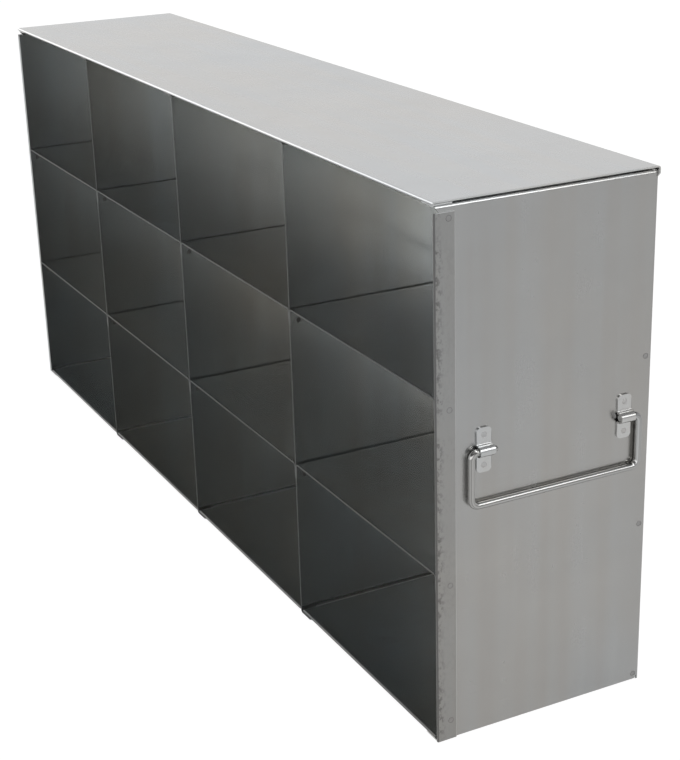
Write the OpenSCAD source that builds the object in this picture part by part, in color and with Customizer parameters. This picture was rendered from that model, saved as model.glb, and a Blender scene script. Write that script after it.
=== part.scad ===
// Side-access freezer storage rack for square sample boxes: a stainless sheet-metal frame of
// four bays and three rows, open along one long side, with a folding wire handle on one end.
// Rack coordinates: X runs from the open side (0) to the back, Y from the handle end (0) to the
// far end, Z up from the resting face. Everything is then centred over the origin.

/* [Body] */
// Outside length, from one end panel to the other
rack_length = 695; // [560:1:840]
// Outside depth, from the open side to the lip of the cap
rack_depth = 140; // [120:1:170]
// Outside height
rack_height = 311; // [240:1:420]

/* [Sheet metal] */
// Thickness of the sheet
sheet_t = 0.9; // [0.7:0.1:1.2]
// Inside radius of the flange bends
bend_r = 1.0; // [0.8:0.1:1.6]
// Inside radius of the shelf bends
shelf_bend_r = 1.5; // [1:0.1:2]
// Inside radius of the two back corners
corner_bend_r = 1.5; // [1:0.1:2]
// Slit left inside a folded hem
hem_gap = 0.2; // [0.1:0.1:0.3]

/* [Flanges and hems] */
// Reach of the inturned flanges of the end panels, back and dividers
flange_reach = 13; // [10:1:16]
// Drop of the flanges at both ends of a shelf
shelf_flange = 10; // [8:1:14]
// Width of the hem strips folded onto the end panels
panel_hem = 12.2; // [9:0.1:15]
// Width of the hems folded under the cap and the floors
flat_hem = 11.5; // [9:0.1:13]
// Drop of the cap's lip over the back
cap_lip = 10; // [6:1:14]
// Height left on that lip where its ends are cut away
cap_lip_end = 4; // [3:0.5:6]
// How far the dividers and shelves stand back from the open face
front_setback = 0.6; // [0.3:0.1:1]
// Clearance where one sheet stops short of another
end_clear = 0.3; // [0.2:0.1:0.5]

/* [Corner reliefs] */
// Height of the corner left open above each back bend
relief_height = 3.8; // [3:0.1:6]
// Radius of the rounded bottom of that relief
relief_r = 0.9; // [0.6:0.1:1.2]
// Radius of the end panel's top corner beside the relief
relief_corner_r = 2.2; // [1:0.1:4]
// Width of the slits that free the bottom flanges beside each back bend
slit_w = 0.8; // [0.5:0.1:1.2]
// Height above a panel hem that its notch takes up
hem_notch_height = 3.6; // [2:0.1:5]
// Depth of that notch
hem_notch_depth = 2.8; // [1.5:0.1:4]

/* [Handle] */
// Diameter of the handle's rod
rod_d = 4; // [3.5:0.1:5]
// Space between the hanging rod and the end panel
rod_standoff = 0.6; // [0.3:0.05:1]
// Radial play of the rod in its clips
rod_play = 0.1; // [0.05:0.05:0.2]
// Height of the handle's pivot
pivot_height = 172.5; // [120:0.5:220]
// From the pivot down to the middle of the grip
handle_drop = 31; // [24:0.5:45]
// Middle of the leg nearest the open side
leg_left = 20.8; // [18:0.1:30]
// Middle of the leg nearest the back
leg_right = 129.5; // [110:0.1:132]
// Centre-line radius where a leg turns into its clip
pivot_bend = 3.8; // [2.6:0.1:5]
// Centre-line radius where a leg turns into the grip
grip_bend = 4.4; // [3:0.1:8]

/* [Handle clips] */
// Thickness of the clip strap
clip_t = 1.0; // [0.8:0.1:1.4]
// Width of the clip strap
clip_width = 9.3; // [8:0.1:12]
// Height of a clip from tab end to tab end
clip_height = 25.8; // [22:0.1:30]
// Inside radius where the strap turns out of its tabs
clip_bend_r = 0.8; // [0.5:0.1:1.2]
// Radius of the tabs' corners
tab_corner_r = 2.8; // [1:0.1:4]
// From the end of a tab to its weld
tab_weld_inset = 4.2; // [3.5:0.1:6]
// Clearance from a bend's end to its clip
leg_clear = 0.4; // [0.3:0.1:2]
// How far the rod's domed end stands out of the left clip
rod_overhang = 2.8; // [1:0.1:5]
// How far the rod's other end sits inside the right clip
rod_recess = 0.4; // [0:0.1:2]

/* [Spot welds] */
// Diameter of the dimple a spot weld leaves
weld_d = 3.0; // [2:0.1:5]
// Depth of the dimple
weld_depth = 0.2; // [0.1:0.05:0.3]
// From the front edge of a shelf to its first weld
weld_inset = 5.5; // [4:0.5:12]
// From the back of the rack to a shelf's rear weld
weld_rear_inset = 10; // [8:0.5:16]
// Depth of the welds below a shelf's top
weld_drop = 7.6; // [6:0.1:9]
// From the free edge of a panel's hem to its welds
hem_weld_inset = 3.7; // [3:0.1:6]
// Height of a hem's lowest weld above the resting face, and depth of its highest below the flange
hem_weld_low = 13; // [9:1:20]
hem_weld_high = 7; // [6:0.5:12]
// From the back of the rack to the welds at the back of an end panel
back_weld_inset = 5.5; // [4.5:0.5:10]
// Height of the lowest of those, and depth of the others below a shelf's top
back_weld_low = 4.5; // [4:0.5:10]
back_weld_drop = 2; // [1:0.5:6]

/* [Hidden] */

bay_count = 4;
row_count = 3;
eps = 1;

// Stacks of sheet
hem_stack = 2 * sheet_t + hem_gap;
hem_fold = sheet_t + hem_gap / 2;
bend_out = bend_r + sheet_t;
shelf_bend_out = shelf_bend_r + sheet_t;
corner_out = corner_bend_r + sheet_t;

// Main planes
back_out = rack_depth - sheet_t;
back_in = back_out - sheet_t;
flange_top = rack_height - hem_stack;
floor_top = sheet_t + hem_stack;
bay_pitch = (rack_length - sheet_t) / bay_count;
row_pitch = (flange_top - floor_top) / row_count;
front_edge = front_setback;

// Shelves and floors stop short of the dividers' back flanges, and the dividers short of the back
shelf_back = back_in - bend_out - end_clear;
floor_back = back_in - bend_out - end_clear;
divider_back = back_in - 2 * end_clear;
floor_end_gap = bend_out + end_clear;
weld_rear = rack_depth - weld_rear_inset;

// Handle
rod_r = rod_d / 2;
pivot_out = rod_r + rod_standoff;
barrel_in = rod_r + rod_play;
barrel_out = barrel_in + clip_t;
clip_left_x = leg_left + pivot_bend + leg_clear;
clip_right_x = leg_right - pivot_bend - leg_clear - clip_width;
left_rod_end = clip_left_x + clip_width + rod_overhang;
right_rod_end = clip_right_x + rod_recess;

// Sphere that leaves a dimple of the stated width and depth
weld_ball = (weld_d * weld_d / 4 + weld_depth * weld_depth) / (2 * weld_depth);

// The clips stand furthest out at the handle end, the panel hem at the far end
mid_y = (rack_length + hem_fold + hem_gap / 2 - pivot_out - barrel_out) / 2;

steel = [0.74, 0.75, 0.75];
bright = [0.86, 0.87, 0.88];
arc_fn = 48;

function bay_start(bay) = (bay - 1) * bay_pitch + sheet_t;
function bay_end(bay) = bay * bay_pitch;
function row_top(row) = floor_top + row * row_pitch;

module placed() {
  translate([-rack_depth / 2, -mid_y, 0]) children();
}

// A plain rectangle of sheet, or any block, between two corners
module slab(x, y, z) {
  translate([x[0], y[0], z[0]]) cube([x[1] - x[0], y[1] - y[0], z[1] - z[0]]);
}

// A quarter turn of bent sheet round the Z axis, starting on the +X side at turn 0
module bend_z(height, inner, turn) {
  rotate([0, 0, 90 * turn])
    rotate_extrude(angle = 90, $fn = arc_fn)
      translate([inner, 0]) square([sheet_t, height]);
}

// The same round the X axis: turn 0 runs from +Y to +Z
module bend_x(length, inner, turn) {
  rotate([90, 0, 90]) bend_z(length, inner, turn);
}

// The same round the Y axis: turn 0 runs from +Z to +X
module bend_y(length, inner, turn) {
  rotate([-90, -90, 0]) bend_z(length, inner, turn);
}

// Dimple cutter, centred on a point of the surface that faces along the given axis
module weld_dimple(point, out) {
  translate(point + out * (weld_ball - weld_depth)) sphere(r = weld_ball, $fn = arc_fn);
}

// Both end panels and the back are one sheet, bent twice
module wrap_blank() {
  panel_x = [hem_fold, back_out - corner_out];
  panel_z = [bend_out, flange_top - bend_out];
  corner_z = [end_clear, flange_top - bend_out];
  slab(panel_x, [0, sheet_t], panel_z);
  slab(panel_x, [rack_length - sheet_t, rack_length], panel_z);
  slab([back_in, back_out], [corner_out, rack_length - corner_out], panel_z);
  translate([back_out - corner_out, corner_out, corner_z[0]])
    bend_z(corner_z[1] - corner_z[0], corner_bend_r, 3);
  translate([back_out - corner_out, rack_length - corner_out, corner_z[0]])
    bend_z(corner_z[1] - corner_z[0], corner_bend_r, 0);
}

// Flat of the inturned flange along one end panel, mitred at the back corner
module end_flange_flat(z) {
  x = back_out - corner_out - slit_w;
  translate([0, 0, z]) linear_extrude(height = sheet_t)
    polygon([[hem_fold, bend_out],
             [x, bend_out],
             [x - flange_reach + bend_out, flange_reach],
             [hem_fold, flange_reach]]);
}

// Top and bottom flanges of one end panel, drawn for the handle end
module end_flanges() {
  length = back_out - corner_out - hem_fold;
  end_flange_flat(0);
  translate([hem_fold, bend_out, bend_out]) bend_x(length, bend_r, 2);
  end_flange_flat(flange_top - sheet_t);
  translate([hem_fold, bend_out, flange_top - bend_out]) bend_x(length, bend_r, 1);
}

// Flat of the flange along the back, mitred at both ends
module back_flange_flat(z) {
  x = back_out - bend_out;
  y = corner_out + slit_w;
  reach = flange_reach - bend_out;
  translate([0, 0, z]) linear_extrude(height = sheet_t)
    polygon([[x, y],
             [x, rack_length - y],
             [x - reach, rack_length - y - reach],
             [x - reach, y + reach]]);
}

module back_flanges() {
  length = rack_length - 2 * corner_out;
  back_flange_flat(0);
  translate([back_out - bend_out, corner_out, bend_out]) bend_y(length, bend_r, 1);
  back_flange_flat(flange_top - sheet_t);
  translate([back_out - bend_out, corner_out, flange_top - bend_out]) bend_y(length, bend_r, 0);
}

// Hem folded outward along the open edge of one end panel, drawn for the handle end
module panel_hem_strip() {
  low = sheet_t;
  high = flange_top - hem_notch_height;
  slab([hem_fold, panel_hem], [-hem_gap - sheet_t, -hem_gap], [low, high]);
  translate([hem_fold, -hem_gap / 2, low]) {
    bend_z(high - low, hem_gap / 2, 1);
    bend_z(high - low, hem_gap / 2, 2);
  }
}

// Everything drawn at the handle end, repeated at the far end
module both_ends() {
  children();
  translate([0, rack_length, 0]) mirror([0, 1, 0]) children();
}

// Opening at the top of a back corner: a slot with a round bottom beside a rounded corner
module corner_relief() {
  x = back_out - corner_out + end_clear;
  z = flange_top - relief_height;
  slab([x, rack_depth], [-eps, corner_out - end_clear], [z, flange_top + eps]);
  translate([x + relief_r, 0, z]) rotate([90, 0, 0])
    cylinder(r = relief_r, h = 2 * eps, center = true, $fn = arc_fn);
  translate([x - relief_corner_r, bend_out, flange_top - relief_corner_r]) rotate([90, 0, 0])
    linear_extrude(height = bend_out + eps) difference() {
      square(relief_corner_r + eps);
      circle(r = relief_corner_r, $fn = arc_fn);
    }
}

// Slits that part the bottom flanges from a back corner's bend
module corner_slits() {
  z = [-eps, bend_out + slit_w];
  x = back_out - corner_out;
  slab([x - slit_w, x], [-eps, bend_out], z);
  slab([back_out - bend_out, rack_depth], [corner_out, corner_out + slit_w], z);
}

// V notch between a panel's hem and its top flange
module hem_notch() {
  top = flange_top - sheet_t / 2;
  translate([0, sheet_t + eps / 2, 0])
    rotate([90, 0, 0])
      linear_extrude(height = sheet_t + eps)
        polygon([[0, top],
                 [hem_fold, top],
                 [hem_fold + hem_notch_depth, top - hem_notch_height],
                 [0, top - hem_notch_height]]);
}

// Weld dimples on the outside of one end panel: along the hem, and near the back
module panel_welds() {
  hem_y = -hem_gap - sheet_t;
  for (z = [hem_weld_low, row_top(1) - weld_drop, row_top(2) - weld_drop,
            flange_top - hem_weld_high])
    weld_dimple([panel_hem - hem_weld_inset, hem_y, z], [0, -1, 0]);
  for (z = [back_weld_low, row_top(1) - back_weld_drop, row_top(2) - back_weld_drop])
    weld_dimple([rack_depth - back_weld_inset, 0, z], [0, -1, 0]);
}

module end_wrap() {
  color(steel) placed() difference() {
    union() {
      wrap_blank();
      both_ends() end_flanges();
      back_flanges();
      both_ends() panel_hem_strip();
    }
    both_ends() {
      corner_relief();
      corner_slits();
      hem_notch();
      panel_welds();
    }
  }
}

// The lid: hemmed under along the open side, lipped down over the back
module top_cap() {
  y = [end_clear, rack_length - end_clear];
  length = y[1] - y[0];
  z = [rack_height - sheet_t, rack_height];
  color(bright) placed() difference() {
    union() {
      slab([hem_fold, rack_depth - bend_out], y, z);
      slab([hem_fold, flat_hem], y, [flange_top, flange_top + sheet_t]);
      translate([hem_fold, y[0], rack_height - hem_fold]) {
        bend_y(length, hem_gap / 2, 2);
        bend_y(length, hem_gap / 2, 3);
      }
      translate([rack_depth - bend_out, y[0], rack_height - bend_out]) bend_y(length, bend_r, 0);
      slab([back_out, rack_depth], y, [rack_height - cap_lip, rack_height - bend_out]);
    }
    both_ends() cap_lip_corner();
  }
}

// The lip's ends are cut off at 45 degrees
module cap_lip_corner() {
  rise = cap_lip - cap_lip_end;
  translate([back_out - eps / 2, 0, 0])
    rotate([90, 0, 90])
      linear_extrude(height = sheet_t + eps)
        polygon([[-eps, rack_height - cap_lip_end],
                 [0, rack_height - cap_lip_end],
                 [rise + eps, rack_height - cap_lip - eps],
                 [-eps, rack_height - cap_lip - eps]]);
}

// A full-height wall between two bays. Its top flange turns to the far end and its bottom
// flange to the handle end, and a short flange lies on the back.
module divider(index) {
  face = index * bay_pitch;
  plate_z = [bend_out, flange_top - bend_out];
  back_z = [flange_reach + 3, flange_top - flange_reach - 3];
  flange_x = [front_edge, divider_back - flange_reach];
  flange_length = flange_x[1] - flange_x[0];
  bend_line = back_in - bend_out;
  translate([0, face, 0]) {
    slab([front_edge, bend_line], [0, sheet_t], plate_z);
    slab([bend_line, divider_back], [0, sheet_t], [plate_z[0], back_z[0] - slit_w]);
    slab([bend_line, divider_back], [0, sheet_t], [back_z[1] + slit_w, plate_z[1]]);
    translate([front_edge, bend_out, plate_z[1]]) bend_x(flange_length, bend_r, 1);
    slab(flange_x, [bend_out, flange_reach], [flange_top - sheet_t, flange_top]);
    translate([front_edge, sheet_t - bend_out, plate_z[0]]) bend_x(flange_length, bend_r, 3);
    slab(flange_x, [sheet_t - flange_reach, sheet_t - bend_out], [0, sheet_t]);
    translate([bend_line, bend_out, back_z[0]]) bend_z(back_z[1] - back_z[0], bend_r, 3);
    slab([back_in - sheet_t, back_in], [bend_out, flange_reach], back_z);
  }
}

module divider_1() { color(steel) placed() divider(1); }
module divider_2() { color(steel) placed() divider(2); }
module divider_3() { color(steel) placed() divider(3); }

// A shelf is a tray hung between two walls by its downturned ends
module shelf(bay, row) {
  y = [bay_start(bay), bay_end(bay)];
  top = row_top(row);
  x = [front_edge, shelf_back];
  depth = x[1] - x[0];
  flange_z = [top - shelf_flange, top - shelf_bend_out];
  difference() {
    union() {
      slab(x, [y[0] + shelf_bend_out, y[1] - shelf_bend_out], [top - sheet_t, top]);
      translate([x[0], y[0] + shelf_bend_out, flange_z[1]]) bend_x(depth, shelf_bend_r, 1);
      translate([x[0], y[1] - shelf_bend_out, flange_z[1]]) bend_x(depth, shelf_bend_r, 0);
      slab(x, [y[0], y[0] + sheet_t], flange_z);
      slab(x, [y[1] - sheet_t, y[1]], flange_z);
    }
    for (weld_x = [front_edge + weld_inset, weld_rear]) {
      weld_dimple([weld_x, y[0] + sheet_t, top - weld_drop], [0, 1, 0]);
      weld_dimple([weld_x, y[1] - sheet_t, top - weld_drop], [0, -1, 0]);
    }
  }
}

module shelf_upper_1() { color(steel) placed() shelf(1, 2); }
module shelf_upper_2() { color(steel) placed() shelf(2, 2); }
module shelf_upper_3() { color(steel) placed() shelf(3, 2); }
module shelf_upper_4() { color(steel) placed() shelf(4, 2); }
module shelf_lower_1() { color(steel) placed() shelf(1, 1); }
module shelf_lower_2() { color(steel) placed() shelf(2, 1); }
module shelf_lower_3() { color(steel) placed() shelf(3, 1); }
module shelf_lower_4() { color(steel) placed() shelf(4, 1); }

// A floor lies on the bottom flanges, hemmed under front and back. Where there is no flange
// below its near end, a small lip reaches down to the resting face.
module floor_sheet(bay, lipped) {
  y_far = bay_end(bay) - floor_end_gap;
  y_near = lipped ? bay_start(bay) : bay_start(bay) + floor_end_gap;
  y_plate = lipped ? y_near + bend_out : y_near;
  y_hem = [y_plate + end_clear, y_far];
  plate_z = [floor_top - sheet_t, floor_top];
  hem_z = [sheet_t, 2 * sheet_t];
  fold_z = floor_top - hem_fold;
  x = [front_edge + hem_fold, floor_back - hem_fold];
  lip_x = [x[0], back_out - flange_reach - end_clear];
  slab(x, [y_plate, y_far], plate_z);
  slab([x[0], front_edge + flat_hem], y_hem, hem_z);
  slab([floor_back - flat_hem, x[1]], y_hem, hem_z);
  translate([x[0], y_hem[0], fold_z]) {
    bend_y(y_far - y_hem[0], hem_gap / 2, 2);
    bend_y(y_far - y_hem[0], hem_gap / 2, 3);
  }
  translate([x[1], y_hem[0], fold_z]) {
    bend_y(y_far - y_hem[0], hem_gap / 2, 0);
    bend_y(y_far - y_hem[0], hem_gap / 2, 1);
  }
  if (lipped) {
    translate([x[0], y_plate, floor_top - bend_out]) bend_x(x[1] - x[0], bend_r, 1);
    slab(lip_x, [y_near, y_near + sheet_t], [0, floor_top - bend_out]);
  }
}

module floor_1() { color(steel) placed() floor_sheet(1, false); }
module floor_2() { color(steel) placed() floor_sheet(2, true); }
module floor_3() { color(steel) placed() floor_sheet(3, true); }
module floor_4() { color(steel) placed() floor_sheet(4, true); }

// One tab of a clip, rounded at its free corners
module clip_tab() {
  low = barrel_out + clip_bend_r;
  high = clip_height / 2;
  slab([0, clip_width], [-clip_t, 0], [low, high - tab_corner_r]);
  slab([tab_corner_r, clip_width - tab_corner_r], [-clip_t, 0], [high - tab_corner_r, high]);
  for (x = [tab_corner_r, clip_width - tab_corner_r])
    translate([x, 0, high - tab_corner_r])
      rotate([90, 0, 0]) cylinder(r = tab_corner_r, h = clip_t, $fn = arc_fn);
}

// The turn from a tab into the barrel
module clip_turn() {
  turn_y = -clip_t - clip_bend_r;
  turn_z = barrel_out + clip_bend_r;
  intersection() {
    translate([0, turn_y, turn_z]) rotate([0, 90, 0]) difference() {
      cylinder(r = clip_bend_r + clip_t, h = clip_width, $fn = arc_fn);
      translate([0, 0, -eps]) cylinder(r = clip_bend_r, h = clip_width + 2 * eps, $fn = arc_fn);
    }
    slab([0, clip_width], [turn_y, 0], [barrel_in, turn_z]);
  }
  slab([0, clip_width], [-pivot_out, turn_y], [barrel_in, barrel_out]);
}

// Half-round barrel over the rod
module clip_barrel() {
  intersection() {
    translate([0, -pivot_out, 0]) rotate([0, 90, 0]) difference() {
      cylinder(r = barrel_out, h = clip_width, $fn = 2 * arc_fn);
      translate([0, 0, -eps]) cylinder(r = barrel_in, h = clip_width + 2 * eps, $fn = 2 * arc_fn);
    }
    slab([0, clip_width], [-pivot_out - barrel_out, -pivot_out], [-barrel_out, barrel_out]);
  }
}

module clip_half() {
  clip_turn();
  clip_tab();
}

module clip(x) {
  translate([x, 0, pivot_height]) difference() {
    union() {
      clip_barrel();
      clip_half();
      mirror([0, 0, 1]) clip_half();
    }
    for (side = [-1, 1])
      weld_dimple([clip_width / 2, -clip_t, side * (clip_height / 2 - tab_weld_inset)], [0, -1, 0]);
  }
}

module handle_clip_left() { color(bright) placed() clip(clip_left_x); }
module handle_clip_right() { color(bright) placed() clip(clip_right_x); }

// A quarter bend of the rod in the plane of the hanging handle, its centre at the origin
module rod_bend(radius, turn) {
  rotate([90, 0, 0]) rotate([0, 0, 90 * turn])
    rotate_extrude(angle = 90, $fn = arc_fn)
      translate([radius, 0]) circle(r = rod_r, $fn = arc_fn);
}

module rod_x(x) {
  translate([x[0], 0, 0]) rotate([0, 90, 0]) cylinder(r = rod_r, h = x[1] - x[0], $fn = arc_fn);
}

module leg(x) {
  translate([x, 0, -handle_drop + grip_bend])
    cylinder(r = rod_r, h = handle_drop - grip_bend - pivot_bend, $fn = arc_fn);
}

// One rod, bent four times: its two ends turn inward and pivot in the clips
module handle_bail() {
  color(bright) placed() translate([0, -pivot_out, pivot_height]) {
    rod_x([leg_left + pivot_bend, left_rod_end - rod_r]);
    translate([left_rod_end - rod_r, 0, 0]) sphere(r = rod_r, $fn = arc_fn);
    translate([leg_left + pivot_bend, 0, -pivot_bend]) rod_bend(pivot_bend, 1);
    leg(leg_left);
    translate([leg_left + grip_bend, 0, -handle_drop + grip_bend]) rod_bend(grip_bend, 2);
    translate([0, 0, -handle_drop]) rod_x([leg_left + grip_bend, leg_right - grip_bend]);
    translate([leg_right - grip_bend, 0, -handle_drop + grip_bend]) rod_bend(grip_bend, 3);
    leg(leg_right);
    translate([leg_right - pivot_bend, 0, -pivot_bend]) rod_bend(pivot_bend, 0);
    rod_x([right_rod_end, leg_right - pivot_bend]);
  }
}

end_wrap();
top_cap();
divider_1();
divider_2();
divider_3();
shelf_upper_1();
shelf_upper_2();
shelf_upper_3();
shelf_upper_4();
shelf_lower_1();
shelf_lower_2();
shelf_lower_3();
shelf_lower_4();
floor_1();
floor_2();
floor_3();
floor_4();
handle_clip_left();
handle_clip_right();
handle_bail();
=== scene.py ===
import bpy
import bmesh
import math
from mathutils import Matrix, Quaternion, Vector


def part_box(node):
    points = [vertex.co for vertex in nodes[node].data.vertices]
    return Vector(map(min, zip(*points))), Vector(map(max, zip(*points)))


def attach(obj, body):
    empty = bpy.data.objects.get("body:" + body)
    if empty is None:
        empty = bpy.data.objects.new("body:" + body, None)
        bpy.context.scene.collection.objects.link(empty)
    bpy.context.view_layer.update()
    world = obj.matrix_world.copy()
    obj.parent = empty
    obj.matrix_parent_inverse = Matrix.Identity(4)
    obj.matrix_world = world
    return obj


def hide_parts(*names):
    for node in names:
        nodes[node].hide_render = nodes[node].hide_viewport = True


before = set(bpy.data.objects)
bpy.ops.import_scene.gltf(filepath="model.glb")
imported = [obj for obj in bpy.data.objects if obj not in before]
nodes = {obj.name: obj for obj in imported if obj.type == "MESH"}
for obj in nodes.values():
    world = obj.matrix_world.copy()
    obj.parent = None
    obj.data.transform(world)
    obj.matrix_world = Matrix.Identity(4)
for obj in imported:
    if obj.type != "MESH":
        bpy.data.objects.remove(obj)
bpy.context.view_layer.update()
MM = 0.001

# ------------------------------------------------------------------ end wrap
# The two end panels and the back are one sheet of 0.9 mm stainless steel, bent round the two
# back corners, with its top and bottom edges turned in as flanges and its open edges hemmed
# outward. It is cut flat, notched, bent on a press and spot-welded to everything else.
SHEET = 0.9 * MM
SHEAR_BREAK = 0.16 * MM
WRAP_BREAK = 0.24 * MM
SAME_POINT = 0.002 * MM
FLAT_ANGLE = math.radians(0.8)
SHEARED_ANGLE = math.radians(55)
SMOOTH_ANGLE = math.radians(38)
WELD_RADIUS = 1.5 * MM
LEAST_SINK = 0.001 * MM
FINISHES = ("face", "edge", "hem", "weld", "fold", "inside")
FACE, EDGE, HEM, WELD, FOLD, INSIDE = range(len(FINISHES))


def pressed_sheet(node, welds, edge_break=SHEAR_BREAK, finish_of=None):
    """A joined-up copy of one pressed sheet with its sheared edges broken. Every face knows
    its finish, and every spot weld is a loose point that knows which way it looks. finish_of
    is given a face's middle, its normal and its finish so far, and says its finish."""
    shape = bmesh.new()
    shape.from_mesh(nodes[node].data)
    bmesh.ops.remove_doubles(shape, verts=shape.verts, dist=SAME_POINT)
    bmesh.ops.dissolve_limit(
        shape, angle_limit=FLAT_ANGLE, verts=shape.verts, edges=shape.edges)

    # an edge is broken where it is a sharp one and both faces beside it are broad enough
    breadth = {f: 2 * f.calc_area() / f.calc_perimeter() for f in shape.faces}
    least = 2.2 * edge_break
    sheared = [
        e for e in shape.edges
        if len(e.link_faces) == 2 and e.calc_length() > least
        and e.calc_face_angle_signed() > SHEARED_ANGLE
        and min(breadth[f] for f in e.link_faces) > least]

    # a narrow face between two such edges is the cut through the sheet
    cut = set(sheared)
    for face in shape.faces:
        sharp = sum(e.calc_length() for e in face.edges if e in cut)
        if breadth[face] < 1.2 * SHEET and sharp > 0.7 * face.calc_perimeter():
            face.material_index = EDGE
    bmesh.ops.bevel(
        shape, geom=sheared, offset=edge_break, offset_type="OFFSET", segments=2,
        profile=0.5, affect="EDGES", clamp_overlap=False, material=EDGE)
    shape.verts.index_update()
    points = [v.co.copy() for v in shape.verts]
    faces = [[v.index for v in f.verts] for f in shape.faces]

    # a small face that lies sunk within a weld's radius is part of its dimple
    finish = []
    for face in shape.faces:
        middle = face.calc_center_median()
        small = face.calc_area() < WELD_RADIUS * WELD_RADIUS
        kind = face.material_index
        if finish_of:
            kind = finish_of(middle, face.normal, kind)
        if small and any((middle - Vector(spot)).length < 1.02 * WELD_RADIUS
                         and (Vector(spot) - middle).dot(Vector(look)) > LEAST_SINK
                         for spot, look in welds):
            kind = WELD
        finish.append(kind)
    shape.free()

    sheet = bpy.data.meshes.new(node + "_sheet")
    sheet.from_pydata(points + [Vector(spot) for spot, look in welds], [], faces)
    sheet.attributes.new("finish", "INT", "FACE").data.foreach_set("value", finish)
    loose = [False] * len(points) + [True] * len(welds)
    sheet.attributes.new("weld", "BOOLEAN", "POINT").data.foreach_set("value", loose)
    looks = [(0, 0, 1)] * len(points) + [look for spot, look in welds]
    sheet.attributes.new("look", "FLOAT_VECTOR", "POINT").data.foreach_set(
        "vector", [value for look in looks for value in look])
    sheet.polygons.foreach_set("use_smooth", [True] * len(faces))
    sheet.set_sharp_from_angle(angle=SMOOTH_ANGLE)
    return sheet


class Tree:
    """Shorthand for wiring a node tree."""

    def __init__(self, tree):
        self.tree = tree

    def node(self, kind, settings=None, **sockets):
        """A new node, with its sockets given a value or fed from another socket."""
        made = self.tree.nodes.new(kind)
        for name, value in (settings or {}).items():
            setattr(made, name, value)
        for name, value in sockets.items():
            self.feed(made.inputs[name.replace("_", " ")], value)
        return made

    def feed(self, socket, value):
        if isinstance(value, bpy.types.NodeSocket):
            self.tree.links.new(value, socket)
        else:
            socket.default_value = value

    def stored(self, kind, name):
        """What the mesh stores under a name."""
        return self.node("GeometryNodeInputNamedAttribute", {"data_type": kind},
                         Name=name).outputs["Attribute"]

    def store(self, kind, name, shape, value):
        """The shape with a value stored on its points under a name."""
        return self.node("GeometryNodeStoreNamedAttribute", {"data_type": kind},
                         Geometry=shape, Name=name, Value=value).outputs["Geometry"]

    def math(self, operation, first, second):
        made = self.node("ShaderNodeMath", {"operation": operation})
        self.feed(made.inputs[0], first)
        self.feed(made.inputs[1], second)
        return made.outputs["Value"]

    def total(self, *values):
        """All the values added up."""
        so_far = values[0]
        for value in values[1:]:
            so_far = self.math("ADD", so_far, value)
        return so_far


def new_tree(name, takes, gives):
    """An empty geometry tree: what it takes, each with its kind, and the shape it gives."""
    group = bpy.data.node_groups.new(name, "GeometryNodeTree")
    for socket, kind in takes:
        group.interface.new_socket(socket, in_out="INPUT", socket_type="NodeSocket" + kind)
    group.interface.new_socket(gives, in_out="OUTPUT", socket_type="NodeSocketGeometry")
    return group


RIM_THICKNESS = 0.11 * MM
RIM_FACETS = 28
RIM_SIDES = 8


def stamped_sheets():
    """Node tree that gives each spot weld its raised rim and repeats a sheet in rows."""
    finishes = tuple((part + " finish", "Material") for part in FINISHES + ("rim",))
    group = new_tree("stamped_sheets", (
        ("Sheet", "Geometry"), ("Count along", "Int"), ("Step along", "Vector"),
        ("Count up", "Int"), ("Step up", "Vector"), ("Rim radius", "Float"),
        ("Rim thickness", "Float")) + finishes, "Sheets")
    wires = Tree(group)
    given = wires.node("NodeGroupInput").outputs

    # a rim is a thin ring that lies round its weld
    ring = wires.node("GeometryNodeCurvePrimitiveCircle", Resolution=RIM_FACETS,
                      Radius=given["Rim radius"])
    wire = wires.node("GeometryNodeCurvePrimitiveCircle", Resolution=RIM_SIDES,
                      Radius=given["Rim thickness"])
    rim = wires.node("GeometryNodeCurveToMesh", Curve=ring.outputs["Curve"],
                     Profile_Curve=wire.outputs["Curve"])
    soft = wires.node("GeometryNodeSetShadeSmooth", Geometry=rim.outputs["Mesh"])
    is_weld = wires.stored("BOOLEAN", "weld")
    turn = wires.node("FunctionNodeAlignRotationToVector", {"axis": "Z"},
                      Vector=wires.stored("FLOAT_VECTOR", "look"))
    rims = wires.node("GeometryNodeInstanceOnPoints", Points=given["Sheet"], Selection=is_weld,
                      Instance=wires.store("BOOLEAN", "rim", soft.outputs["Geometry"], True),
                      Rotation=turn.outputs["Rotation"])
    bare_rims = wires.node("GeometryNodeRemoveAttribute", Geometry=rims.outputs["Instances"],
                           Name="finish")
    parted = wires.node("GeometryNodeSeparateGeometry", Geometry=given["Sheet"],
                        Selection=is_weld)
    joined = wires.node("GeometryNodeJoinGeometry", Geometry=parted.outputs["Inverted"])
    wires.feed(joined.inputs["Geometry"], bare_rims.outputs["Geometry"])

    # rows along the rack, and rows of those over each other
    shape = joined.outputs["Geometry"]
    for count, step in (("Count along", "Step along"), ("Count up", "Step up")):
        row = wires.node("GeometryNodeMeshLine", Count=given[count], Offset=given[step])
        shape = wires.node("GeometryNodeInstanceOnPoints", Points=row.outputs["Mesh"],
                           Instance=shape).outputs["Instances"]
    shape = wires.node("GeometryNodeRealizeInstances", Geometry=shape).outputs["Geometry"]

    # the face finish goes all over, and then each other finish on its own faces
    chosen = {"face": True}
    kind = wires.stored("INT", "finish")
    for number, part in enumerate(FINISHES):
        if number != FACE:
            chosen[part] = wires.node(
                "FunctionNodeCompare", {"data_type": "INT", "operation": "EQUAL"},
                A=kind, B=number).outputs["Result"]
    chosen["rim"] = wires.stored("BOOLEAN", "rim")
    for part, where in chosen.items():
        shape = wires.node("GeometryNodeSetMaterial", Geometry=shape, Selection=where,
                           Material=given[part + " finish"]).outputs["Geometry"]
    wires.node("NodeGroupOutput", Sheets=shape)
    return group


sheet_tree = stamped_sheets()


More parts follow.
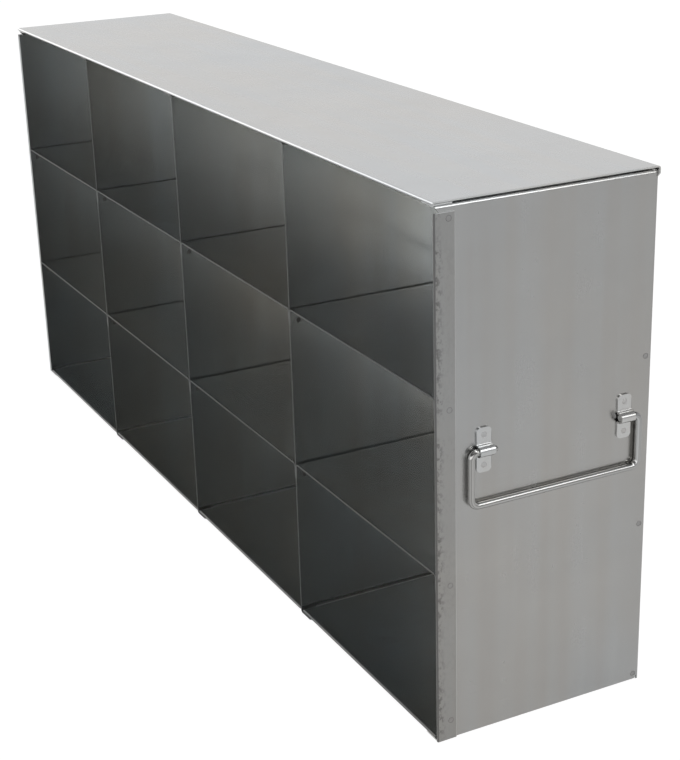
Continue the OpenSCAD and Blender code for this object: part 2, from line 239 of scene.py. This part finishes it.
def put(name, data):
    """Adds an object to the scene, at the origin."""
    thing = bpy.data.objects.new(name, data)
    bpy.context.scene.collection.objects.link(thing)
    return thing


LARGEST_FACE_RULES = 100


def run_tree(piece, group, sizes):
    """Runs a node tree on a piece and leaves a plain mesh with even normals."""
    grown = piece.modifiers.new(group.name, "NODES")
    grown.node_group = group
    for item in group.interface.items_tree:
        if item.in_out == "INPUT" and item.name in sizes:
            grown[item.identifier] = sizes[item.name]
    level = piece.modifiers.new("level flats", "WEIGHTED_NORMAL")
    level.keep_sharp = True
    level.weight = LARGEST_FACE_RULES
    seen = piece.evaluated_get(bpy.context.evaluated_depsgraph_get())
    finished = bpy.data.meshes.new_from_object(seen)
    piece.modifiers.clear()
    if finished.materials[0] is None:  # the empty slot that a bare mesh starts with
        slots = [polygon.material_index - 1 for polygon in finished.polygons]
        finished.materials.pop(index=0)
        finished.polygons.foreach_set("material_index", slots)
    piece.data = finished


def place_sheets(name, sheet, replaced, slot_name, along=(1, (0, 0, 0)), up=(1, (0, 0, 0)),
                 **finishes):
    """Adds one finished sheet, or its rows of like sheets, in place of the plain solids. A
    place with no finish of its own has that of the faces."""
    piece = put(name, sheet)
    sizes = {"Count along": along[0], "Step along": along[1], "Count up": up[0],
             "Step up": up[1], "Rim radius": WELD_RADIUS + RIM_THICKNESS / 2,
             "Rim thickness": RIM_THICKNESS}
    for part in FINISHES + ("rim",):
        sizes[part + " finish"] = finishes.get(part, finishes["face"])
    run_tree(piece, sheet_tree, sizes)
    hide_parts(*replaced)
    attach(piece, "frame")


MOTTLING = 0.02
STAINS_FADE = 1.5 * MM
STAINS_END = 5.5 * MM
WAVE_DEPTH = 0.2 * MM
GRAIN_DEPTH = 0.02 * MM
PIT_DEPTH = 0.08 * MM


def mill_finish(name, colour, roughness, across, streaks_and_painted_bands=0.03, grain=0.02, marks=0.04,
                pits=0.0, front=0.0, way=None, band_scale=85):
    """Cold-rolled stainless: rolling grain and broad streaking that runs one way, cloudy
    mottling, dull smudges and sparse hairlines. With pits it is also stained near the fold
    at x = front. With way it follows the attribute of that name instead of the place.
    Strong streaking is painted reflection bands."""
    finish = bpy.data.materials.new(name)
    finish.use_nodes = True
    finish.node_tree.nodes.clear()
    wires = Tree(finish.node_tree)
    if way:
        place = wires.node("ShaderNodeAttribute", {"attribute_name": way}).outputs["Vector"]
    else:
        place = wires.node("ShaderNodeTexCoord").outputs["Object"]
    lay = Vector(across)

    def cloud(stretch, detail=2, rough=0.5, seed=0.0, turn=(0, 0, 0)):
        """Cloudy noise with so many clouds a metre along each axis."""
        moved = wires.node("ShaderNodeMapping", Vector=place, Scale=stretch, Rotation=turn,
                           Location=(seed, 1.7 * seed, 2.3 * seed))
        return wires.node("ShaderNodeTexNoise", Vector=moved.outputs["Vector"], Scale=1.0,
                          Detail=detail, Roughness=rough).outputs["Fac"]

    def ramp(value, low, high, to_low, to_high):
        """Turns low to high into to_low to to_high, and stops at both."""
        return wires.node("ShaderNodeMapRange", Value=value, From_Min=low, From_Max=high,
                          To_Min=to_low, To_Max=to_high).outputs["Result"]

    rolled = cloud(lay * 2500 + Vector((50, 50, 50)), detail=3, rough=0.6)
    bands = cloud(lay * band_scale + Vector((2, 2, 2)), rough=0.45, seed=3.1)
    mottle = cloud((30, 30, 30), detail=4, rough=0.6, seed=5.3)
    blotch = cloud((7, 7, 7), seed=8.9)
    smudge = cloud((26, 26, 34), detail=4, rough=0.72, seed=12.7)
    hairs = cloud((34, 34, 2600), detail=1, rough=0.3, seed=15.1, turn=(0.3, 0.42, 0.2))

    # colour: grain, streaking and clouds a few per cent either way, and pits that bite and
    # stain; strong streaking paints light and dark reflection bands
    tone = wires.total(ramp(rolled, 0.3, 0.7, 1 - grain, 1 + grain),
                       ramp(bands, 0.3, 0.7, -streaks_and_painted_bands, streaks_and_painted_bands),
                       ramp(mottle, 0.3, 0.7, -MOTTLING, MOTTLING))
    if pits:
        across_strip = wires.node("ShaderNodeSeparateXYZ", Vector=place).outputs["X"]
        near_fold = ramp(across_strip, front + STAINS_FADE, front + STAINS_END, 1, 0.12)
        specks = ramp(cloud((620, 620, 420), detail=4, rough=0.65, seed=21.3), 0.48, 0.58, 0, 1)
        patches = ramp(cloud((40, 40, 55), seed=33.3), 0.38, 0.56, 0, pits)
        bite = wires.math("MULTIPLY", wires.math("MULTIPLY", specks, patches), near_fold)
        tone = wires.math("SUBTRACT", tone, bite)

    # the steel is a shade warmer in one broad blotch and a shade cooler in the next
    warm = (colour[0] * 1.018, colour[1], colour[2] * 0.975, 1)
    cool = (colour[0] * 0.982, colour[1], colour[2] * 1.015, 1)
    tint = wires.node("ShaderNodeMix", {"data_type": "RGBA"}, A=warm, B=cool,
                      Factor=ramp(wires.math("ADD", blotch, wires.math("MULTIPLY", bands, 0.6)),
                                  0.65, 0.95, 0, 1))
    shade = wires.node("ShaderNodeVectorMath", {"operation": "SCALE"},
                       Vector=tint.outputs["Result"], Scale=tone)

    # gloss: grain and smudges dull it a little, hairline scratches dull it in lines
    dull = wires.total(ramp(smudge, 0.48, 0.7, 0, marks), ramp(rolled, 0.3, 0.7, 0, grain),
                       ramp(hairs, 0.74, 0.78, 0, 0.6 * marks),
                       ramp(bands, 0.35, 0.65, -0.4 * streaks_and_painted_bands, 0.4 * streaks_and_painted_bands), roughness)

    # relief: the rolling grain, the faint waviness of pressed sheet, and the pits
    waviness = cloud((13, 13, 13), detail=1, rough=0.4, seed=2.2)
    wave = wires.node("ShaderNodeBump", Height=waviness, Strength=0.3, Distance=WAVE_DEPTH)
    relief = wires.node("ShaderNodeBump", Height=rolled, Strength=2.5 * grain,
                        Distance=GRAIN_DEPTH, Normal=wave.outputs["Normal"]).outputs["Normal"]
    if pits:
        relief = wires.node("ShaderNodeBump", {"invert": True}, Height=bite, Strength=0.6,
                            Distance=PIT_DEPTH, Normal=relief).outputs["Normal"]
    steel = wires.node("ShaderNodeBsdfPrincipled", Metallic=1.0, Normal=relief,
                       Base_Color=shade.outputs["Vector"], Roughness=dull)
    wires.node("ShaderNodeOutputMaterial", Surface=steel.outputs["BSDF"])
    return finish


HEM_REACH = 12.2 * MM
HEM_PROUD = 1.1 * MM
TOP_BEND = 3 * MM
wrap_low, wrap_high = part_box("end_wrap")

UPRIGHT_GRAIN = (1, 1, 0)
NO_GRAIN = (1, 1, 1)
# The wrap's outside is toned darker than the same stainless in the bays and on the lid: that
# darker tone is painted shade.
panel_steel = mill_finish("panel_steel", (0.492, 0.488, 0.48), 0.25, UPRIGHT_GRAIN,
                          streaks_and_painted_bands=0.035, grain=0.01, marks=0.016)
bay_steel = mill_finish("bay_steel", (0.66, 0.665, 0.662), 0.15, UPRIGHT_GRAIN,
                        streaks_and_painted_bands=0.02, grain=0.008, marks=0.015)
hem_steel = mill_finish("hem_steel", (0.405, 0.4, 0.39), 0.29, UPRIGHT_GRAIN,
                        pits=0.45, front=wrap_low[0])
# The tight folds are coloured near black, a painted shade for folds that face the dim side of
# the room.
fold_painted_shade = mill_finish("fold_painted_shade", (0.2, 0.198, 0.195), 0.4, UPRIGHT_GRAIN, streaks_and_painted_bands=0.05)
# This lighter tone on the cut edges of the wrap and the lid, and on the wrap's top bend, is a
# painted highlight.
edge_painted_highlight = mill_finish("edge_painted_highlight", (0.74, 0.74, 0.73), 0.3, NO_GRAIN, streaks_and_painted_bands=0.01)
weld_flat = mill_finish("weld_flat", (0.4, 0.395, 0.39), 0.33, NO_GRAIN, streaks_and_painted_bands=0.05)
weld_scale = mill_finish("weld_scale", (0.22, 0.215, 0.21), 0.4, NO_GRAIN, streaks_and_painted_bands=0.05)

HEM_WELD_INSET = 3.7 * MM
HEM_FOOT_WELD = 13 * MM
HEM_TOP_WELD_DROP = 7 * MM
BACK_WELD_INSET = 5.5 * MM
BACK_FOOT_WELD = 4.5 * MM
BACK_WELD_DROP = 2 * MM
LIP_WELD_DROP = 7.6 * MM
hem_weld_x = wrap_low[0] + HEM_REACH - HEM_WELD_INSET
back_weld_x = wrap_high[0] + SHEET - BACK_WELD_INSET
shelf_tops = [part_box(shelf)[1][2] for shelf in ("shelf_lower_1", "shelf_upper_1")]
hem_heights = (HEM_FOOT_WELD, *(top - LIP_WELD_DROP for top in shelf_tops),
               wrap_high[2] - HEM_TOP_WELD_DROP)
back_heights = (BACK_FOOT_WELD, *(top - BACK_WELD_DROP for top in shelf_tops))
wrap_welds = []
for hem_face, look in ((wrap_low[1], (0, -1, 0)), (wrap_high[1] - RIM_THICKNESS, (0, 1, 0))):
    panel_face = hem_face - look[1] * HEM_PROUD
    wrap_welds += [((hem_weld_x, hem_face, z), look) for z in hem_heights]
    wrap_welds += [((back_weld_x, panel_face, z), look) for z in back_heights]


def wrap_finish(middle, normal, kind):
    """The bend along the top takes the cut edges' lighter tone, a painted highlight. The
    outside of a folded hem strip has its own finish, the tight fold along its front is coloured
    dark as painted shade, and the inner faces keep the bays' steel, lighter than the outside
    faces."""
    if kind == EDGE or (normal.z > 0.3 and middle.z > wrap_high[2] - TOP_BEND):
        return EDGE
    outer = min(middle.y - wrap_low[1], wrap_high[1] - middle.y) < 0.9 * HEM_PROUD
    if normal.x < -0.25 and outer and middle.x < wrap_low[0] + HEM_PROUD:
        return FOLD
    if normal.y * middle.y < -0.2 * abs(middle.y) or (normal.x < -0.5 and middle.x > 0):
        return INSIDE
    return HEM if outer and middle.x < wrap_low[0] + HEM_REACH and abs(normal.y) > 0.3 else FACE


place_sheets("wrap_sheet", pressed_sheet("end_wrap", wrap_welds, WRAP_BREAK, wrap_finish),
             ["end_wrap"], "panel_steel", face=panel_steel, edge=edge_painted_highlight, hem=hem_steel,
             weld=weld_flat, fold=fold_painted_shade, inside=bay_steel, rim=weld_scale)

# ------------------------------------------------------------------ dividers
# Three full-height walls of the same sheet part the bays. Each has a flange at top and bottom
# and one turned along the back, and is spot-welded through them.
bay_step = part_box("divider_2")[0][1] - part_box("divider_1")[0][1]
# This near-black tone on cut edges is painted shade where they face the dim side of the room:
# the dividers' front edges, the straps' edges and the trays' downturned ends.
edge_painted_shade = mill_finish("edge_painted_shade", (0.19, 0.19, 0.187), 0.38, NO_GRAIN, streaks_and_painted_bands=0.02)
place_sheets("walls", pressed_sheet("divider_1", []),
             [f"divider_{number}" for number in (1, 2, 3)], "bay_steel",
             along=(3, (0, bay_step, 0)), face=bay_steel, edge=edge_painted_shade)

# ------------------------------------------------------------------ shelves
# Eight trays of sheet, two over each other in every bay, hang between the walls by their
# downturned ends, each held by two spot welds an end.
TRAY_BEND = 1.3 * MM
FRONT_WELD_INSET = 5.5 * MM
REAR_WELD_INSET = 4.5 * MM
tray_low, tray_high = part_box("shelf_lower_1")
row_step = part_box("shelf_upper_1")[0][2] - tray_low[2]
tray_edge = mill_finish("tray_edge", (0.58, 0.58, 0.575), 0.32, NO_GRAIN, streaks_and_painted_bands=0.01)
tray_weld = mill_finish("tray_weld", (0.15, 0.145, 0.14), 0.4, NO_GRAIN, streaks_and_painted_bands=0.05)
tray_welds = [
    ((x, y, tray_high[2] - LIP_WELD_DROP), look)
    for x in (tray_low[0] + FRONT_WELD_INSET, back_weld_x - REAR_WELD_INSET)
    for y, look in ((tray_low[1] + SHEET, (0, 1, 0)), (tray_high[1] - SHEET, (0, -1, 0)))]


def tray_finish(middle, normal, kind):
    """The cut edges of the downturned ends are coloured dark as painted shade, and those of the
    flat are brighter.
    """
    return HEM if kind == EDGE and middle.z < tray_high[2] - TRAY_BEND else kind


# The ends' cut edges take the hem slot, which here holds the painted shade.
place_sheets("trays", pressed_sheet("shelf_lower_1", tray_welds, finish_of=tray_finish),
             [f"shelf_{row}_{bay}" for row in ("lower", "upper") for bay in (1, 2, 3, 4)],
             "bay_steel", along=(4, (0, bay_step, 0)), up=(2, (0, 0, row_step)),
             face=bay_steel, edge=tray_edge, hem=edge_painted_shade, weld=tray_weld, rim=tray_weld)

# ------------------------------------------------------------------ floors
# The lowest row rests on four plates hemmed under front and back. The one at the handle end
# lies on the bottom flanges, and the others are lipped down beside them.
PLATE_FOLD = 1.5 * MM
plate_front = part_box("floor_1")[0][0]


def plate_finish(middle, normal, kind):
    """The tight fold along a plate's front edge is dull and coloured dark, a painted shade."""
    fold = kind == FACE and normal.x < -0.25 and middle.x < plate_front + PLATE_FOLD
    return FOLD if fold else kind


for name, model, bays in (("first_plate", "floor_1", (1,)),
                          ("lipped_plates", "floor_2", (2, 3, 4))):
    place_sheets(name, pressed_sheet(model, [], finish_of=plate_finish),
                 [f"floor_{bay}" for bay in bays], "bay_steel",
                 along=(len(bays), (0, bay_step, 0)),
                 face=bay_steel, edge=tray_edge, fold=fold_painted_shade)

# ------------------------------------------------------------------ top cap
# The lid is one sheet, with its grain along the rack. It is hemmed under along the open side
# and lipped down over the back, and lies on the top flanges of the wrap and the dividers.
LONG_GRAIN = (1, 0, 1)
cap_steel = mill_finish("cap_steel", (0.662, 0.664, 0.665), 0.27, LONG_GRAIN, streaks_and_painted_bands=0.015,
                        grain=0.004, marks=0.012)
place_sheets("cap_sheet", pressed_sheet("top_cap", []), ["top_cap"], "cap_steel",
             face=cap_steel, edge=edge_painted_highlight)

# ------------------------------------------------------------------ handle clips
# Two straps of 1 mm strip are pressed over the rod and spot-welded to the end panel through
# their tabs.
STRIP = 1.0 * MM
TAB_WELD_INSET = 4.2 * MM
clip_low, clip_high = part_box("handle_clip_left")
clip_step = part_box("handle_clip_right")[0][0] - clip_low[0]
clip_middle = (clip_low[0] + clip_high[0]) / 2
clip_welds = [((clip_middle, clip_high[1] - STRIP, z), (0, -1, 0))
              for z in (clip_low[2] + TAB_WELD_INSET, clip_high[2] - TAB_WELD_INSET)]
clip_steel = mill_finish("clip_steel", (0.67, 0.675, 0.675), 0.2, UPRIGHT_GRAIN)
clip_weld = mill_finish("clip_weld", (0.6, 0.595, 0.59), 0.3, NO_GRAIN)
# The straps' cut edges are coloured dark, a painted shade.
place_sheets("straps", pressed_sheet("handle_clip_left", clip_welds),
             ["handle_clip_left", "handle_clip_right"], "clip_steel",
             along=(2, (clip_step, 0, 0)),
             face=clip_steel, edge=edge_painted_shade, weld=clip_weld, rim=clip_weld)

# ------------------------------------------------------------------ handle
# The handle is 4 mm bright drawn rod, bent four times. Its end in the left clip is domed and
# its other end is cut square, and both turn in the clips.
ROD_RADIUS = 2.0 * MM
PIVOT_BEND = 3.8 * MM
GRIP_BEND = 4.4 * MM
CUT_CHAMFER = 0.25 * MM
DOMED_STAND_OUT = 2.8 * MM
SQUARE_INSET = 0.4 * MM
DOME_STEPS = 9
DOME_STEP_ANGLE = math.radians(11)
LEAST_GIRTH = 0.02
bail_low, bail_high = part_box("handle_bail")
leg_left = bail_low[0] + ROD_RADIUS
leg_right = bail_high[0] - ROD_RADIUS
grip_height = bail_low[2] + ROD_RADIUS
pivot_height = bail_high[2] - ROD_RADIUS
rod_depth = (bail_low[1] + bail_high[1]) / 2
domed_end = clip_high[0] + DOMED_STAND_OUT
square_end = clip_low[0] + clip_step + SQUARE_INSET


def rod_path():
    """The rod's centre line: each point with its bend radius and its share of full girth."""
    points = [((square_end, pivot_height), 0, 1 - CUT_CHAMFER / ROD_RADIUS),
              ((square_end + CUT_CHAMFER, pivot_height), 0, 1),
              ((leg_right, pivot_height), PIVOT_BEND, 1),
              ((leg_right, grip_height), GRIP_BEND, 1),
              ((leg_left, grip_height), GRIP_BEND, 1),
              ((leg_left, pivot_height), PIVOT_BEND, 1)]
    for step in range(DOME_STEPS):
        turn = step * DOME_STEP_ANGLE
        points.append(((domed_end - ROD_RADIUS * (1 - math.sin(turn)), pivot_height), 0,
                       max(math.cos(turn), LEAST_GIRTH)))
    line = bpy.data.meshes.new("rod_path")
    line.from_pydata([(x, rod_depth, z) for (x, z), bend, girth in points],
                     [(n, n + 1) for n in range(len(points) - 1)], [])
    line.attributes.new("bend", "FLOAT", "POINT").data.foreach_set(
        "value", [bend for spot, bend, girth in points])
    line.attributes.new("girth", "FLOAT", "POINT").data.foreach_set(
        "value", [girth for spot, bend, girth in points])
    return line


def bent_rod():
    """Node tree that bends a path's corners, sweeps a round rod along it and notes where each
    point lies along and round the rod."""
    group = new_tree("bent_rod", (
        ("Path", "Geometry"), ("Rod radius", "Float"), ("Facets", "Int"),
        ("Bend steps", "Int"), ("Finish", "Material")), "Rod")
    wires = Tree(group)
    given = wires.node("NodeGroupInput").outputs
    line = wires.node("GeometryNodeMeshToCurve", Mesh=given["Path"])
    bent = wires.node("GeometryNodeFilletCurve", {"mode": "POLY"}, Curve=line.outputs["Curve"],
                      Count=given["Bend steps"], Radius=wires.stored("FLOAT", "bend"))
    length = wires.node("GeometryNodeSplineParameter").outputs["Length"]
    spot = wires.node("GeometryNodeInputPosition").outputs["Position"]
    ring = wires.node("GeometryNodeCurvePrimitiveCircle", Resolution=given["Facets"],
                      Radius=given["Rod radius"])
    swept = wires.node(
        "GeometryNodeCurveToMesh", Scale=wires.stored("FLOAT", "girth"), Fill_Caps=True,
        Curve=wires.store("FLOAT", "along", bent.outputs["Curve"], length),
        Profile_Curve=wires.store("FLOAT_VECTOR", "around", ring.outputs["Curve"], spot))
    lift = wires.node("ShaderNodeCombineXYZ", Z=wires.stored("FLOAT", "along"))
    rod_way = wires.node("ShaderNodeVectorMath", {"operation": "ADD"},
                         Vector=wires.stored("FLOAT_VECTOR", "around"))
    wires.feed(rod_way.inputs[1], lift.outputs["Vector"])
    noted = wires.store("FLOAT_VECTOR", "rod_way", swept.outputs["Mesh"],
                        rod_way.outputs["Vector"])
    smooth = wires.node("GeometryNodeSetShadeSmooth", Geometry=noted)
    real = wires.node("GeometryNodeRealizeInstances", Geometry=smooth.outputs["Geometry"])
    done = wires.node("GeometryNodeSetMaterial", Geometry=real.outputs["Geometry"],
                      Material=given["Finish"])
    wires.node("NodeGroupOutput", Rod=done.outputs["Geometry"])
    return group


# The strong light and dark bands that run along the rod are painted reflection; only faint die
# lines of the drawn rod are real.
rod_steel = mill_finish("rod_steel", (0.57, 0.575, 0.575), 0.13, UPRIGHT_GRAIN, streaks_and_painted_bands=0.42,
                        grain=0.04, marks=0.05, way="rod_way", band_scale=1150)
bail = put("bail_rod", rod_path())
run_tree(bail, bent_rod(), {"Rod radius": ROD_RADIUS, "Facets": 40, "Bend steps": 12,
                            "Finish": rod_steel})
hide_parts("handle_bail")
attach(bail, "handle")

# ------------------------------------------------------------------ studio
# A plain pale floor and plain soft light, seen from the handle end. The room is brighter
# low down on the rack's open side, past both of its ends and straight overhead.
FLOOR_HALF = 6
FLOOR_GLOW = 1.31
SEEN_GLOW = 0.72
MIRRORED_GLOW = 0.2
DIM_ROOM = 0.19
OVERHEAD = (0.0, 0.0, 1.0)
POOL_ANGLE = math.radians(30)
floor_mesh = bpy.data.meshes.new("studio_floor")
floor_mesh.from_pydata([(-FLOOR_HALF, -FLOOR_HALF, 0), (FLOOR_HALF, -FLOOR_HALF, 0),
                        (FLOOR_HALF, FLOOR_HALF, 0), (-FLOOR_HALF, FLOOR_HALF, 0)],
                       [], [(0, 1, 2, 3)])
studio_floor = put("studio_floor", floor_mesh)
paper = bpy.data.materials.new("white_paper")
paper.use_nodes = True
paper.node_tree.nodes.clear()
paint = Tree(paper.node_tree)
matt = paint.node("ShaderNodeBsdfDiffuse", Color=(0.8, 0.8, 0.8, 1))
lit = paint.node("ShaderNodeEmission", Strength=FLOOR_GLOW)
ray = paint.node("ShaderNodeLightPath")
blend = paint.node("ShaderNodeMixShader", Fac=paint.total(
    paint.math("MULTIPLY", ray.outputs["Is Camera Ray"], SEEN_GLOW),
    paint.math("MULTIPLY", ray.outputs["Is Glossy Ray"], MIRRORED_GLOW)))
paint.feed(blend.inputs[1], matt.outputs["BSDF"])
paint.feed(blend.inputs[2], lit.outputs["Emission"])
paint.node("ShaderNodeOutputMaterial", Surface=blend.outputs["Shader"])
floor_mesh.materials.append(paper)

world = bpy.data.worlds.new("studio")
bpy.context.scene.world = world
world.use_nodes = True
world.node_tree.nodes.clear()
room = Tree(world.node_tree)
outward = room.node("ShaderNodeTexCoord").outputs["Generated"]


def bright_side(aim, low, high, bright):
    """How much brighter the room is toward one side."""
    toward = room.node("ShaderNodeVectorMath", {"operation": "DOT_PRODUCT"}, Vector=outward)
    room.feed(toward.inputs[1], Vector(aim).normalized())
    return room.node("ShaderNodeMapRange", {"interpolation_type": "SMOOTHSTEP"},
                     Value=toward.outputs["Value"], From_Min=low, From_Max=high,
                     To_Min=0.0, To_Max=bright).outputs["Result"]


back_wall = bright_side((0.45, 0.89, 0.12), 0.35, 0.9, 0.85)
near_wall = bright_side((0.6, -0.8, 0.15), 0.3, 0.9, 0.4)
window = bright_side((-1.0, 0.0, 0.35), 0.0, 0.45, 1.5)
window_head = bright_side(OVERHEAD, 0.32, 0.55, 1.0)
ceiling = bright_side(OVERHEAD, 0.36, 0.75, 0.85)
skylight = bright_side(OVERHEAD, 0.62, 0.93, 0.42)
window = room.math("MULTIPLY", window, room.math("SUBTRACT", 1.0, window_head))
walls = room.total(back_wall, window, near_wall, DIM_ROOM)
level = room.total(room.math("MULTIPLY", walls, room.math("SUBTRACT", 1.0, ceiling)), skylight)
glow = room.node("ShaderNodeBackground", Strength=level)
white = room.node("ShaderNodeBackground", Color=(1, 1, 1, 1))
ray = room.node("ShaderNodeLightPath")
pick = room.node("ShaderNodeMixShader", Fac=ray.outputs["Is Camera Ray"])
room.feed(pick.inputs[1], glow.outputs["Background"])
room.feed(pick.inputs[2], white.outputs["Background"])
room.node("ShaderNodeOutputWorld", Surface=pick.outputs["Shader"])


def hang_lamp(name, kind, where, aim, power, **settings):
    """Hangs a lamp and points it at what it lights."""
    lamp = bpy.data.lights.new(name, kind)
    lamp.energy = power
    for setting, value in settings.items():
        setattr(lamp, setting, value)
    holder = put(name, lamp)
    holder.location = where
    holder.rotation_euler = (Vector(aim) - Vector(where)).to_track_quat("-Z", "Y").to_euler()


hang_lamp("front", "AREA", (0.75, -1.65, 1.25), (0.1, -0.4, 0.1), 5, shape="SQUARE", size=0.8)
hang_lamp("back", "AREA", (-0.55, 2.3, 1.25), (0, 0, 0.2), 5, shape="SQUARE", size=2.0)
for name, side, power in (("near_pool", -1, 26), ("far_pool", 1, 18)):
    hang_lamp(name, "SPOT", (0.1, 0.95 * side, 2.0), (0.1, 0.5 * side, 0), power,
              spot_size=POOL_ANGLE, spot_blend=1.0, shadow_soft_size=0.15)

eye = bpy.data.cameras.new("camera")
eye.sensor_width = 36
eye.lens = 77.475
eye.clip_start = 0.05
eye.clip_end = 50
camera = put("camera", eye)
camera.location = (-0.46501, -1.02313, 0.51639)
camera.rotation_mode = "QUATERNION"
camera.rotation_quaternion = Quaternion((0.797857, 0.554498, -0.122824, -0.202163))
bpy.context.scene.camera = camera
bpy.context.scene.view_settings.view_transform = "Standard"
bpy.context.scene.cycles.glossy_bounces = 10
